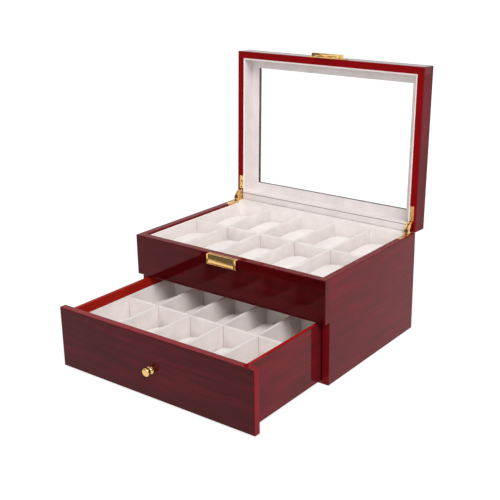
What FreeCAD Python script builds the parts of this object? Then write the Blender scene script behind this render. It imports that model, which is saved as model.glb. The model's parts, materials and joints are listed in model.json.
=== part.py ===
import FreeCAD, Part
import math
import os
import re
import Sketcher
from FreeCAD import Placement, Rotation, Vector

# Watch box with a hinged window lid, a divided tray and a divided drawer.
# X runs along the front, -Y points to the front, +Z is up, and all sizes are in millimetres.
# The origin is the middle of the underside of the case. The lid stands open, and the drawer is pulled out.

SIZES = {
    # case boards
    "box_width": 300,
    "box_depth": 218,
    "case_height": 137,
    "board": 9.5,
    "edge_round": 1,
    "tray_level": 82,
    "tray_board": 3,
    "base_board": 2.5,
    # velvet lining and dividers of the tray
    "lining": 2,
    "lining_floor": 1.5,
    "tray_lip_drop": 3,
    "divider": 4,
    "divider_end_play": 0.6,
    "divider_drop": 4.5,
    "slot_play": 0.6,
    "strip_thickness": 0.8,
    "strip_margin": 0.4,
    # drawer
    "drawer_out": 136,
    "drawer_face_play": 0.5,
    "drawer_face_lift": 1.5,
    "drawer_face_gap": 2,
    "drawer_side_board": 5,
    "drawer_side_gap": 3.5,
    "drawer_side_lift": 0.3,
    "drawer_side_drop": 3.5,
    "drawer_floor_lift": 3.2,
    "drawer_floor_board": 3,
    "drawer_lining": 1.5,
    "drawer_lining_drop": 11.5,
    "drawer_divider_drop": 1,
    "drawer_back_board": 7,
    "drawer_back_gap": 0.8,
    "drawer_back_space": 14.5,
    # strip under the tray that stops the drawer
    "stop_length": 120,
    "stop_depth": 8,
    "stop_height": 2.8,
    # cushions
    "cushion_side_gap": 1.9,
    "cushion_end_gap": 2,
    "cushion_height": 37,
    "cushion_corner": 9,
    "cushion_corner_growth": 0.5,
    "cushion_pull": 1.2,
    "cushion_crown": 4,
    "cushion_fullness": 2.5,
    # lid
    "rim_gap": 0.4,
    "lid_rail_height": 19.5,
    "lid_top_board": 5.5,
    "window_side_border": 24.5,
    "window_end_border": 24,
    "rebate_width": 5,
    "rebate_play": 0.5,
    "glass_thickness": 1.6,
    "glass_gap": 0.2,
    "lid_lip_drop": 0.6,
    "lid_ring": 1,
    "lid_open_angle": 92,
    "pivot_inset": 1,
    "pivot_rise": 1.2,
    # hinges
    "leaf_width": 6,
    "leaf_inset": 0,
    "leaf_thickness": 2.5,
    "leaf_length": 34.5,
    "leaf_play": 0.1,
    "block_radius": 14,
    "block_back": 1.3,
    "block_gap": 0.4,
    "blade_thickness": 1.2,
    "blade_height": 3,
    "blade_play": 0.1,
    "eye_radius": 1.8,
    "pin_radius": 0.9,
    "pin_play": 0.05,
    "screw_radius": 1,
    "screw_head_radius": 1.8,
    "screw_head_height": 1,
    "screw_length": 8,
    "screw_near": 19.5,
    "screw_far": 29.5,
    # clasp on the case
    "clasp_width": 46,
    "clasp_height": 13,
    "clasp_rise": 0.6,
    "clasp_plate": 1,
    "cheek_width": 2.5,
    "cheek_reach": 5.5,
    "lever_side_play": 0.5,
    "lever_margin": 0.4,
    "lever_gap": 1.6,
    "lever_top_edge": 1.6,
    "lever_reach": 4.6,
    "lever_lip": 3,
    "lever_pin_depth": 1.7,
    "tooth_width": 10,
    "tooth_height": 1.4,
    "tooth_reach": 0.2,
    "tooth_drop": 1.2,
    "spring_width": 12,
    "spring_length": 4.4,
    "spring_strip": 0.25,
    "spring_rise": 0.4,
    # strike on the lid
    "strike_width": 58,
    "strike_height": 10.8,
    "strike_lift": 0.8,
    "strike_plate": 1,
    "housing_width": 46,
    "housing_height": 8.8,
    "housing_reach": 5,
    "tongue_width": 24,
    "tongue_length": 6.7,
    "tongue_gap": 0.2,
    "tongue_thickness": 1,
    "tooth_play": 1,
    # knob of the drawer
    "knob_drop": 2.75,
    "knob_base_radius": 4.9,
    "knob_base_height": 1.6,
    "knob_neck_radius": 2.6,
    "knob_neck_length": 3.2,
    "knob_head_radius": 5.3,
    "knob_head_slope": 1.2,
    "knob_length": 10,
    "knob_head_round": 2.2,
    "knob_screw_radius": 1.5,
    "knob_screw_grip": 5,
    "knob_screw_head_radius": 3,
    "knob_screw_head_height": 1.6,
}

COLUMNS = 5
LEFT = -1
RIGHT = 1

# How a sketch numbers the points of a line, an arc or a circle, in this order from 0
POINT_NAMES = ("whole", "start", "end", "centre")

# How near an edge must keep to a plane to count as lying in it
EDGE_TOLERANCE = 0.01

# Shares of the cushion's height that have a section, and how much less than the top its foot is rounded
CUSHION_LEVELS = (0, 0.1, 0.3, 0.5, 0.7, 0.85, 0.95, 1)
FOOT_SHARE = 0.9

# Largest share of half a cushion section's width or length that a rounded corner takes
CORNER_LIMIT = 0.9

doc = FreeCAD.newDocument("watch_box")
sheet = doc.addObject("Spreadsheet::Sheet", "sizes")
for row, (size_name, size) in enumerate(SIZES.items(), start=1):
    sheet.set(f"A{row}", size_name)
    sheet.set(f"B{row}", str(size))
    sheet.setAlias(f"B{row}", size_name)
doc.recompute()

node_objects = []


def link(formula):
    """Point each size name in a formula at its cell of the sheet."""
    return re.sub(r"[a-z_]+", lambda word: f"sizes.{word[0]}" if word[0] in SIZES else word[0], formula)


def value(formula):
    """Work out a formula of the sheet's sizes."""
    return float(sheet.evalExpression(link(formula)))


# Places that several pieces share, as formulas of the sizes
SIDE = "(box_width / 2)"
FRONT = "(-box_depth / 2)"
BACK = "(box_depth / 2)"
INNER_SIDE = "(box_width / 2 - board)"
INNER_FRONT = "(board - box_depth / 2)"
INNER_BACK = "(box_depth / 2 - board)"
RIM = "case_height"
TRAY_FLOOR = "(tray_level + tray_board)"
TRAY_BASE = "(tray_level + tray_board + lining_floor)"
STRIP_BACK = "(box_depth / 2 - strip_margin)"

PIVOT_Y = "(box_depth / 2 - pivot_inset)"
PIVOT_Z = "(case_height + pivot_rise)"
LID_RIM = "(case_height + rim_gap)"
LID_TOP_UNDERSIDE = "(case_height + rim_gap + lid_rail_height)"
LID_TOP = "(case_height + rim_gap + lid_rail_height + lid_top_board)"

DRAWER_FACE_BACK = "(board - drawer_face_play - box_depth / 2)"
DRAWER_FACE_BOTTOM = "drawer_face_lift"
DRAWER_FACE_TOP = "(tray_level - drawer_face_gap)"
DRAWER_SIDE = "(box_width / 2 - board - drawer_side_gap)"
DRAWER_INNER_SIDE = "(box_width / 2 - board - drawer_side_gap - drawer_side_board)"
DRAWER_END = "(box_depth / 2 - board - drawer_back_space)"
DRAWER_BACK_FRONT = "(box_depth / 2 - board - drawer_back_space - drawer_back_board)"
DRAWER_ROW = f"(({DRAWER_BACK_FRONT} - {DRAWER_FACE_BACK} - drawer_lining * 2 - divider) / 2)"
DRAWER_SIDE_BOTTOM = "(base_board + drawer_side_lift)"
DRAWER_SIDE_TOP = "(tray_level - drawer_side_drop)"
DRAWER_LINING_TOP = "(tray_level - drawer_side_drop - drawer_lining_drop)"
DRAWER_DIVIDER_TOP = "(tray_level - drawer_side_drop - drawer_lining_drop - drawer_divider_drop)"
DRAWER_FLOOR = "(base_board + drawer_side_lift + drawer_floor_lift)"
DRAWER_FLOOR_TOP = "(base_board + drawer_side_lift + drawer_floor_lift + drawer_floor_board)"
DRAWER_BASE = f"({DRAWER_FLOOR_TOP} + drawer_lining)"
KNOB_HEIGHT = f"(({DRAWER_FACE_BOTTOM} + {DRAWER_FACE_TOP}) / 2 - knob_drop)"

WINDOW_SIDE = "(box_width / 2 - window_side_border)"
WINDOW_END = "(box_depth / 2 - window_end_border)"


def place_closed(item):
    """Leave a piece of the case where it is drawn."""
    item.Placement = Placement()


def place_drawer(item):
    """Pull a piece of the drawer out to its rest place."""
    item.setExpression("Placement.Base.y", link("-drawer_out"))


def place_lid(item):
    """Turn a piece that is drawn on the closed lid back about the hinge pins."""
    item.Placement = Placement(Vector(), Rotation(Vector(1, 0, 0), -value("lid_open_angle")))
    item.setExpression("Placement.Rotation.Angle", link("-lid_open_angle"))
    turned_y = f"{PIVOT_Y} * cos(lid_open_angle) + {PIVOT_Z} * sin(lid_open_angle)"
    turned_z = f"{PIVOT_Z} * cos(lid_open_angle) - {PIVOT_Y} * sin(lid_open_angle)"
    item.setExpression("Placement.Base.y", link(f"{PIVOT_Y} - ({turned_y})"))
    item.setExpression("Placement.Base.z", link(f"{PIVOT_Z} - ({turned_z})"))


def new_body(name, place=place_closed):
    """Start a named piece."""
    body = doc.addObject("PartDesign::Body", name)
    body.Label = name
    body.AllowCompound = True
    place(body)
    node_objects.append(body)
    return body


def rectangle(across, up):
    """Corners of a rectangle from two pairs of formulas."""
    return [(across[0], up[0]), (across[1], up[0]), (across[1], up[1]), (across[0], up[1])]


def arc_top(start, end, radius):
    """Middle point of an arc from start to end; a positive radius bulges to the right of the way there."""
    chord = end - start
    normal = Vector(chord.y, -chord.x, 0).normalize()
    rise = abs(radius) - math.sqrt(radius ** 2 - (chord.Length / 2) ** 2)
    return (start + end) * 0.5 + normal * math.copysign(rise, radius)


def start_sketch(body, plane, level):
    """Sketch on one of the body's own planes, raised by a formula."""
    drawing = body.newObject("Sketcher::SketchObject", f"{body.Name}_sketch")
    origin_plane = [part for part in body.Origin.OriginFeatures if part.Role == plane][0]
    drawing.AttachmentSupport = [(origin_plane, "")]
    drawing.MapMode = "FlatFace"
    drawing.setExpression("AttachmentOffset.Base.z", link(level))
    return drawing


def place_point(drawing, index, point_name, formulas, point):
    """Hold one point of a sketch at two formulas, measured from the start of its first axis."""
    start = POINT_NAMES.index("start")
    number = POINT_NAMES.index(point_name)
    for kind, formula, size in zip(("DistanceX", "DistanceY"), formulas, (point.x, point.y)):
        limit = drawing.addConstraint(Sketcher.Constraint(kind, -1, start, index, number, size))
        drawing.setExpression(f"Constraints[{limit}]", link(formula))


def outline(body, plane, corners, level):
    """Sketch a closed outline, held by its corners and the radii of its arcs."""
    drawing = start_sketch(body, plane, level)
    points = [Vector(value(corner[0]), value(corner[1]), 0) for corner in corners]
    ends = []
    for index, corner in enumerate(corners):
        start = points[index]
        end = points[(index + 1) % len(points)]
        if len(corner) == 2:
            drawing.addGeometry(Part.LineSegment(start, end), False)
            ends.append(("start", "end"))
            continue
        radius = value(corner[2])
        drawing.addGeometry(Part.Arc(start, arc_top(start, end, radius), end), False)
        first = drawing.Geometry[index].StartPoint
        forward = first.distanceToPoint(start) < first.distanceToPoint(end)
        ends.append(("start", "end") if forward else ("end", "start"))
        limit = drawing.addConstraint(Sketcher.Constraint("Radius", index, abs(radius)))
        drawing.setExpression(f"Constraints[{limit}]", link(f"abs({corner[2]})"))
    for index, corner in enumerate(corners):
        following = (index + 1) % len(points)
        last = POINT_NAMES.index(ends[index][1])
        first = POINT_NAMES.index(ends[following][0])
        drawing.addConstraint(Sketcher.Constraint("Coincident", index, last, following, first))
        place_point(drawing, index, ends[index][0], corner, points[index])
    return drawing


def ring(body, plane, centre, radius, level):
    """Sketch a circle."""
    drawing = start_sketch(body, plane, level)
    middle = Vector(value(centre[0]), value(centre[1]), 0)
    drawing.addGeometry(Part.Circle(middle, Vector(0, 0, 1), value(radius)), False)
    place_point(drawing, 0, "centre", centre, middle)
    limit = drawing.addConstraint(Sketcher.Constraint("Radius", 0, value(radius)))
    drawing.setExpression(f"Constraints[{limit}]", link(radius))
    return drawing


def level_of(plane, formula):
    """A sketch plane's height along its own normal, which points to the front on the XZ plane."""
    return f"-({formula})" if plane == "XZ_Plane" else formula


def draw(body, plane, corners, level):
    """Sketch either a closed outline or, from a centre and a radius, a circle."""
    if isinstance(corners, tuple):
        return ring(body, plane, corners[0], corners[1], level_of(plane, level))
    return outline(body, plane, corners, level_of(plane, level))


def add(body, plane, corners, span):
    """Add material over an outline, between two formulas along the plane's axis."""
    start = span[1] if plane == "XZ_Plane" else span[0]
    before = body.Shape.Volume if body.Tip else 0
    drawing = draw(body, plane, corners, start)
    pad = body.newObject("PartDesign::Pad", f"{body.Name}_pad")
    pad.Profile = drawing
    pad.setExpression("Length", link(f"({span[1]}) - ({span[0]})"))
    doc.recompute()
    if body.Shape.Volume <= before:
        raise RuntimeError(f"{body.Label}: a pad adds nothing")
    return pad


def cut(body, plane, corners, span):
    """Cut an outline away, between two formulas along the plane's axis."""
    start = span[0] if plane == "XZ_Plane" else span[1]
    before = body.Shape.Volume
    drawing = draw(body, plane, corners, start)
    pocket = body.newObject("PartDesign::Pocket", f"{body.Name}_pocket")
    pocket.Profile = drawing
    pocket.setExpression("Length", link(f"({span[1]}) - ({span[0]})"))
    doc.recompute()
    if body.Shape.Volume >= before:
        raise RuntimeError(f"{body.Label}: a pocket cuts nothing")
    return pocket


def turn(body, kind, corners):
    """Revolve an outline of the YZ plane about the body's own Y axis, to add or to cut."""
    drawing = outline(body, "YZ_Plane", corners, "0")
    feature = body.newObject(f"PartDesign::{kind}", f"{body.Name}_{kind.lower()}")
    feature.Profile = drawing
    feature.ReferenceAxis = (drawing, ["H_Axis"])
    feature.Angle = 360
    doc.recompute()
    return feature


def round_edges(body, chosen, radius="edge_round"):
    """Round the straight edges whose middle point passes a test."""
    base = body.Tip
    names = []
    for index, edge in enumerate(base.Shape.Edges, start=1):
        box = edge.BoundBox
        if chosen(box):
            names.append(f"Edge{index}")
    fillet = body.newObject("PartDesign::Fillet", f"{body.Name}_rounding")
    fillet.Base = (base, names)
    fillet.setExpression("Radius", link(radius))
    doc.recompute()
    return fillet


def lies(box, x=None, y=None, z=None):
    """True for an edge that keeps to the given X, Y or Z."""
    for low, high, place in ((box.XMin, box.XMax, x), (box.YMin, box.YMax, y), (box.ZMin, box.ZMax, z)):
        if place is not None and max(abs(low - place), abs(high - place)) > EDGE_TOLERANCE:
            return False
    return True


def slab(name, x, y, z, place=place_closed):
    """A board: a rectangle in plan, padded up."""
    body = new_body(name, place)
    add(body, "XY_Plane", rectangle(x, y), z)
    return body


def mirrored(side, near, far):
    """Formulas of a span on the left or the right, from distances to the middle plane."""
    if side == RIGHT:
        return (near, far)
    return (f"-({far})", f"-({near})")


def column_width(inner_side):
    """Clear width of one column of compartments."""
    return f"((({inner_side}) * 2 - divider * {COLUMNS - 1}) / {COLUMNS})"


def column_start(inner_side, index):
    """Left side of a column of compartments, counted from 0."""
    return f"(-({inner_side}) + ({column_width(inner_side)} + divider) * {index})"


def divider_start(inner_side, index):
    """Left face of the divider to the right of a column."""
    return f"({column_start(inner_side, index)} + {column_width(inner_side)})"


TRAY_INNER_SIDE = f"({INNER_SIDE} - lining)"
DRAWER_LINED_SIDE = f"({DRAWER_INNER_SIDE} - drawer_lining)"
DRAWER_COLUMN = column_width(DRAWER_LINED_SIDE)

# Hinge places on the right, measured from the middle plane
LEAF_X = (f"({INNER_SIDE} + leaf_inset)", f"({INNER_SIDE} + leaf_inset + leaf_width)")
GROOVE_X = (f"({LEAF_X[0]} - leaf_play)", f"({LEAF_X[1]} + leaf_play)")
BLADE_X = (
    f"({INNER_SIDE} + leaf_inset + leaf_width / 2 - blade_thickness / 2)",
    f"({INNER_SIDE} + leaf_inset + leaf_width / 2 + blade_thickness / 2)",
)
SLOT_X = (f"({BLADE_X[0]} - blade_play)", f"({BLADE_X[1]} + blade_play)")
LEAF_MIDDLE = f"({INNER_SIDE} + leaf_inset + leaf_width / 2)"
LEAF_END = f"({PIVOT_Y} - leaf_length)"
LEAF_BOTTOM = "(case_height - leaf_thickness)"
LID_LEAF_TOP = f"({LID_RIM} + leaf_thickness)"
LID_LEAF_BACK = f"({PIVOT_Y} - block_radius - block_gap)"
SCREW_PLACES = ("screw_near", "screw_far")


def side_wall(side):
    """Side board of the case, with a groove in its rim for the hinge leaf."""
    name = "right_side_wall" if side == RIGHT else "left_side_wall"
    body = slab(name, mirrored(side, INNER_SIDE, SIDE), (INNER_FRONT, BACK), ("0", RIM))
    outer = side * value(SIDE)
    top = value(RIM)
    back = value(BACK)
    round_edges(body, lambda box: (
        lies(box, x=outer, z=top) or lies(box, x=outer, z=0) or lies(box, x=outer, y=back)
        or lies(box, y=back, z=top)
    ))
    groove = rectangle(mirrored(side, *GROOVE_X), (f"({LEAF_END} - leaf_play)", f"({BACK} + board)"))
    cut(body, "XY_Plane", groove, (LEAF_BOTTOM, f"({RIM} + board)"))
    for place in SCREW_PLACES:
        middle = mirrored(side, LEAF_MIDDLE, LEAF_MIDDLE)[0]
        hole = ((middle, f"({PIVOT_Y} - {place})"), "screw_radius")
        cut(body, "XY_Plane", hole, (f"({RIM} - screw_length)", LEAF_BOTTOM))


def back_wall():
    """Back board, a little lower than the sides, because velvet covers its rim."""
    top = f"({RIM} - strip_thickness)"
    body = slab("back_wall", (f"-{INNER_SIDE}", INNER_SIDE), (INNER_BACK, BACK), ("0", top))
    round_edges(body, lambda box: lies(box, y=value(BACK), z=value(top)))


def upper_front_panel():
    """Board across the front of the tray, over the drawer."""
    body = slab("upper_front_panel", (f"-{SIDE}", SIDE), (FRONT, INNER_FRONT), ("tray_level", RIM))
    side = value(SIDE)
    front = value(FRONT)
    round_edges(body, lambda box: (
        lies(box, y=front) or lies(box, x=side, z=value(RIM)) or lies(box, x=-side, z=value(RIM))
    ))


def case_boards():
    """Fixed boards of the case."""
    for side in (LEFT, RIGHT):
        side_wall(side)
    back_wall()
    upper_front_panel()
    inside = (f"-{INNER_SIDE}", INNER_SIDE)
    slab("tray_floor_panel", inside, (INNER_FRONT, INNER_BACK), ("tray_level", TRAY_FLOOR))
    slab("base_panel", inside, (INNER_FRONT, INNER_BACK), ("0", "base_board"))
    stop = ("-stop_length / 2", "stop_length / 2")
    slab(
        "drawer_stop_strip", stop, (INNER_FRONT, f"({INNER_FRONT} + stop_depth)"),
        ("(tray_level - stop_height)", "tray_level"),
    )


def cross_divider(name, inner_side, front_face, span_z, place):
    """Divider that runs along the box, slotted from above to take the others."""
    base, top = span_z
    across = (f"divider_end_play - ({inner_side})", f"({inner_side}) - divider_end_play")
    body = slab(name, across, (front_face, f"({front_face} + divider)"), span_z, place)
    half = f"(({base}) + ({top})) / 2"
    for index in range(COLUMNS - 1):
        left = divider_start(inner_side, index)
        slot_across = (f"({left} - slot_play)", f"({left} + divider + slot_play)")
        slot = rectangle(slot_across, (f"({half})", f"({top} + divider)"))
        cut(body, "XZ_Plane", slot, (f"({front_face} - divider)", f"({front_face} + divider * 2)"))


def row_dividers(name, inner_side, span, front_face, span_z, place):
    """Dividers that run from front to back, notched from below to cross the long one."""
    body = new_body(name, place)
    base, top = span_z
    half = f"((({base}) + ({top})) / 2)"
    notch = (f"({front_face} - slot_play)", f"({front_face} + divider + slot_play)")
    near = f"({span[0]} + divider_end_play)"
    far = f"({span[1]} - divider_end_play)"
    outline_points = [
        (near, base), (notch[0], base), (notch[0], half), (notch[1], half),
        (notch[1], base), (far, base), (far, top), (near, top),
    ]
    for index in range(COLUMNS - 1):
        left = divider_start(inner_side, index)
        add(body, "YZ_Plane", outline_points, (left, f"({left} + divider)"))


def tray():
    """Velvet lining of the tray and its dividers."""
    inside = (f"-{INNER_SIDE}", INNER_SIDE)
    lip = "(case_height - tray_lip_drop)"
    inner_side = TRAY_INNER_SIDE
    inner_front = f"({INNER_FRONT} + lining)"
    inner_back = f"({INNER_BACK} - lining)"
    body = slab("tray_lining", inside, (INNER_FRONT, INNER_BACK), (TRAY_FLOOR, lip))
    add(body, "XY_Plane", rectangle(inside, (inner_back, INNER_BACK)), (lip, RIM))
    add(body, "XY_Plane", rectangle(inside, (inner_back, STRIP_BACK)), (f"({RIM} - strip_thickness)", RIM))
    hollow = rectangle((f"-{inner_side}", inner_side), (inner_front, inner_back))
    cut(body, "XY_Plane", hollow, (TRAY_BASE, f"({RIM} + board)"))
    span_z = (TRAY_BASE, "(case_height - divider_drop)")
    cross_divider("tray_cross_divider", inner_side, "(-divider / 2)", span_z, place_closed)
    span = (inner_front, inner_back)
    row_dividers("tray_row_dividers", inner_side, span, "(-divider / 2)", span_z, place_closed)


def knob_hole(body):
    """Hole through the drawer's face for the knob's screw, sunk for its head at the back."""
    hole = (("0", KNOB_HEIGHT), "knob_screw_radius")
    cut(body, "XZ_Plane", hole, (FRONT, DRAWER_FACE_BACK))
    before = body.Shape.Volume
    rim = body.newObject("PartDesign::SubtractiveCone", "drawer_front_sink")
    rim.setExpression("Radius1", link("knob_screw_radius"))
    rim.setExpression("Radius2", link("knob_screw_head_radius"))
    rim.setExpression("Height", link("knob_screw_head_height"))
    rim.Placement = Placement(Vector(), Rotation(Vector(1, 0, 0), -90))
    rim.setExpression("Placement.Base.y", link(f"{DRAWER_FACE_BACK} - knob_screw_head_height"))
    rim.setExpression("Placement.Base.z", link(KNOB_HEIGHT))
    doc.recompute()
    if body.Shape.Volume >= before:
        raise RuntimeError("drawer_front: the sink cuts nothing")


def drawer():
    """Drawer box with a full-width face, its lining and its dividers."""
    face_z = (DRAWER_FACE_BOTTOM, DRAWER_FACE_TOP)
    face = slab("drawer_front", (f"-{SIDE}", SIDE), (FRONT, DRAWER_FACE_BACK), face_z, place_drawer)
    front = value(FRONT)
    round_edges(face, lambda box: lies(box, y=front))
    knob_hole(face)
    for side, name in ((LEFT, "drawer_left_side"), (RIGHT, "drawer_right_side")):
        across = mirrored(side, DRAWER_INNER_SIDE, DRAWER_SIDE)
        side_z = (DRAWER_SIDE_BOTTOM, DRAWER_SIDE_TOP)
        slab(name, across, (DRAWER_FACE_BACK, DRAWER_END), side_z, place_drawer)
    across = (f"-{DRAWER_INNER_SIDE}", DRAWER_INNER_SIDE)
    back_top = "(tray_level - drawer_back_gap)"
    slab("drawer_back", across, (DRAWER_BACK_FRONT, DRAWER_END), (DRAWER_SIDE_BOTTOM, back_top), place_drawer)
    along = (DRAWER_FACE_BACK, DRAWER_BACK_FRONT)
    slab("drawer_bottom", across, along, (DRAWER_FLOOR, DRAWER_FLOOR_TOP), place_drawer)
    lining = slab("drawer_lining", across, along, (DRAWER_FLOOR_TOP, DRAWER_LINING_TOP), place_drawer)
    inner_side = DRAWER_LINED_SIDE
    inner_along = (f"({DRAWER_FACE_BACK} + drawer_lining)", f"({DRAWER_BACK_FRONT} - drawer_lining)")
    hollow = rectangle((f"-{inner_side}", inner_side), inner_along)
    cut(lining, "XY_Plane", hollow, (DRAWER_BASE, f"({DRAWER_LINING_TOP} + board)"))
    face = f"({DRAWER_FACE_BACK} + drawer_lining + {DRAWER_ROW})"
    span_z = (DRAWER_BASE, DRAWER_DIVIDER_TOP)
    cross_divider("drawer_cross_divider", inner_side, face, span_z, place_drawer)
    row_dividers("drawer_row_dividers", inner_side, inner_along, face, span_z, place_drawer)


def knob():
    """Turned knob, drawn about its own axis, and the screw that holds it."""
    def place_knob(item):
        item.setExpression("Placement.Base.y", link(f"{FRONT} - drawer_out"))
        item.setExpression("Placement.Base.z", link(KNOB_HEIGHT))

    body = new_body("knob", place_knob)
    neck_end = "(knob_base_height + knob_neck_length)"
    turn(body, "Revolution", [
        ("0", "0"),
        ("-knob_length", "0"),
        ("-knob_length", "knob_head_radius"),
        (f"-{neck_end} - knob_head_slope", "knob_head_radius"),
        (f"-{neck_end}", "knob_neck_radius", "knob_neck_length"),
        ("-knob_base_height", "knob_neck_radius + knob_base_height / 2"),
        ("-knob_base_height / 2", "knob_base_radius"),
        ("0", "knob_base_radius"),
    ])
    tip = value("-knob_length")
    round_edges(body, lambda box: lies(box, y=tip), "knob_head_round")
    cut(body, "XZ_Plane", (("0", "0"), "knob_screw_radius"), ("-knob_screw_grip", "0"))
    screw = new_body("knob_screw", place_knob)
    face_board = "(board - drawer_face_play)"
    turn(screw, "Revolution", [
        ("-knob_screw_grip", "0"),
        ("-knob_screw_grip", "knob_screw_radius"),
        (f"{face_board} - knob_screw_head_height", "knob_screw_radius"),
        (face_board, "knob_screw_head_radius"),
        (face_board, "0"),
    ])


def lid_side_rail(side):
    """Side board of the lid, hollowed for the hinge leaf and for the block that swings out of it."""
    name = "lid_right_rail" if side == RIGHT else "lid_left_rail"
    across = mirrored(side, INNER_SIDE, SIDE)
    body = slab(name, across, (INNER_FRONT, BACK), (LID_RIM, LID_TOP_UNDERSIDE), place_lid)
    outer = side * value(SIDE)
    rim = value(LID_RIM)
    back = value(BACK)
    round_edges(body, lambda box: (
        lies(box, x=outer, z=rim) or lies(box, x=outer, y=back) or lies(box, y=back, z=rim)
    ))
    groove_x = mirrored(side, *GROOVE_X)
    below = f"({LID_RIM} - board)"
    groove = rectangle(groove_x, (f"({LEAF_END} - leaf_play)", f"({LID_LEAF_BACK} + leaf_play)"))
    cut(body, "XY_Plane", groove, (below, LID_LEAF_TOP))
    pocket_back = f"({PIVOT_Y} - block_back + block_gap)"
    pocket = rectangle(groove_x, (LID_LEAF_BACK, pocket_back))
    cut(body, "XY_Plane", pocket, (below, f"({PIVOT_Z} + block_radius + block_gap)"))
    notch = rectangle(groove_x, (pocket_back, f"({BACK} + board)"))
    cut(body, "XY_Plane", notch, (below, f"({PIVOT_Z} + eye_radius + block_gap)"))
    for place in SCREW_PLACES:
        middle = mirrored(side, LEAF_MIDDLE, LEAF_MIDDLE)[0]
        hole = ((middle, f"({PIVOT_Y} - {place})"), "screw_radius")
        cut(body, "XY_Plane", hole, (LID_LEAF_TOP, f"({LID_RIM} + screw_length)"))


def lid():
    """Boards, window and lining of the lid, drawn closed."""
    rails = (LID_RIM, LID_TOP_UNDERSIDE)
    front_rail = slab("lid_front_rail", (f"-{SIDE}", SIDE), (FRONT, INNER_FRONT), rails, place_lid)
    side = value(SIDE)
    front = value(FRONT)
    back = value(BACK)
    rim = value(LID_RIM)
    round_edges(front_rail, lambda box: (
        lies(box, y=front, z=rim) or lies(box, x=side, y=front) or lies(box, x=-side, y=front)
        or lies(box, x=side, z=rim) or lies(box, x=-side, z=rim)
    ))
    inside = (f"-{INNER_SIDE}", INNER_SIDE)
    strip_top = f"({LID_RIM} + strip_thickness)"
    slab("lid_rear_rail", inside, (INNER_BACK, BACK), (strip_top, LID_TOP_UNDERSIDE), place_lid)
    for hand in (LEFT, RIGHT):
        lid_side_rail(hand)
    top = slab("lid_top_frame", (f"-{SIDE}", SIDE), (FRONT, BACK), (LID_TOP_UNDERSIDE, LID_TOP), place_lid)
    top_level = value(LID_TOP)
    round_edges(top, lambda box: (
        lies(box, z=top_level) or lies(box, x=side, y=front) or lies(box, x=-side, y=front)
        or lies(box, x=side, y=back) or lies(box, x=-side, y=back)
    ))
    window = rectangle((f"-{WINDOW_SIDE}", WINDOW_SIDE), (f"-{WINDOW_END}", WINDOW_END))
    cut(top, "XY_Plane", window, (LID_TOP_UNDERSIDE, LID_TOP))
    rebate = rectangle(
        (f"-{WINDOW_SIDE} - rebate_width", f"{WINDOW_SIDE} + rebate_width"),
        (f"-{WINDOW_END} - rebate_width", f"{WINDOW_END} + rebate_width"),
    )
    cut(top, "XY_Plane", rebate, (LID_TOP_UNDERSIDE, f"({LID_TOP_UNDERSIDE} + glass_thickness + glass_gap)"))
    glass_x = f"({WINDOW_SIDE} + rebate_width - rebate_play)"
    glass_y = f"({WINDOW_END} + rebate_width - rebate_play)"
    slab(
        "lid_glass", (f"-{glass_x}", glass_x), (f"-{glass_y}", glass_y),
        (LID_TOP_UNDERSIDE, f"({LID_TOP_UNDERSIDE} + glass_thickness)"), place_lid,
    )
    lip = f"({LID_RIM} + lid_lip_drop)"
    lining = slab("lid_lining", inside, (INNER_FRONT, INNER_BACK), (lip, LID_TOP_UNDERSIDE), place_lid)
    inner_back = f"({INNER_BACK} - lining)"
    add(lining, "XY_Plane", rectangle(inside, (inner_back, INNER_BACK)), (LID_RIM, lip))
    add(lining, "XY_Plane", rectangle(inside, (inner_back, STRIP_BACK)), (LID_RIM, strip_top))
    hollow = rectangle(
        (f"-({INNER_SIDE} - lining)", f"({INNER_SIDE} - lining)"), (f"({INNER_FRONT} + lining)", inner_back),
    )
    cut(lining, "XY_Plane", hollow, (f"({LID_RIM} - board)", f"({LID_TOP_UNDERSIDE} - lid_ring)"))
    cut(lining, "XY_Plane", window, (f"({LID_TOP_UNDERSIDE} - lid_ring)", LID_TOP_UNDERSIDE))


def sink_screws(body, side, top, direction):
    """Cut the seats of both screws in a leaf, from the face that their heads lie in."""
    middle = mirrored(side, LEAF_MIDDLE, LEAF_MIDDLE)[0]
    for place in SCREW_PLACES:
        before = body.Shape.Volume
        seat = body.newObject("PartDesign::SubtractiveCone", f"{body.Name}_seat")
        seat.setExpression("Radius1", link("screw_head_radius"))
        seat.setExpression("Radius2", link("screw_radius"))
        seat.setExpression("Height", link("screw_head_height"))
        shank = body.newObject("PartDesign::SubtractiveCylinder", f"{body.Name}_bore")
        shank.setExpression("Radius", link("screw_radius"))
        shank.setExpression("Height", link("leaf_thickness"))
        for feature in (seat, shank):
            feature.Placement = Placement(Vector(), Rotation(Vector(1, 0, 0), 0 if direction > 0 else 180))
            feature.setExpression("Placement.Base.x", link(middle))
            feature.setExpression("Placement.Base.y", link(f"{PIVOT_Y} - {place}"))
            feature.setExpression("Placement.Base.z", link(top))
        doc.recompute()
        if body.Shape.Volume >= before:
            raise RuntimeError(f"{body.Label}: a screw seat cuts nothing")


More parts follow.
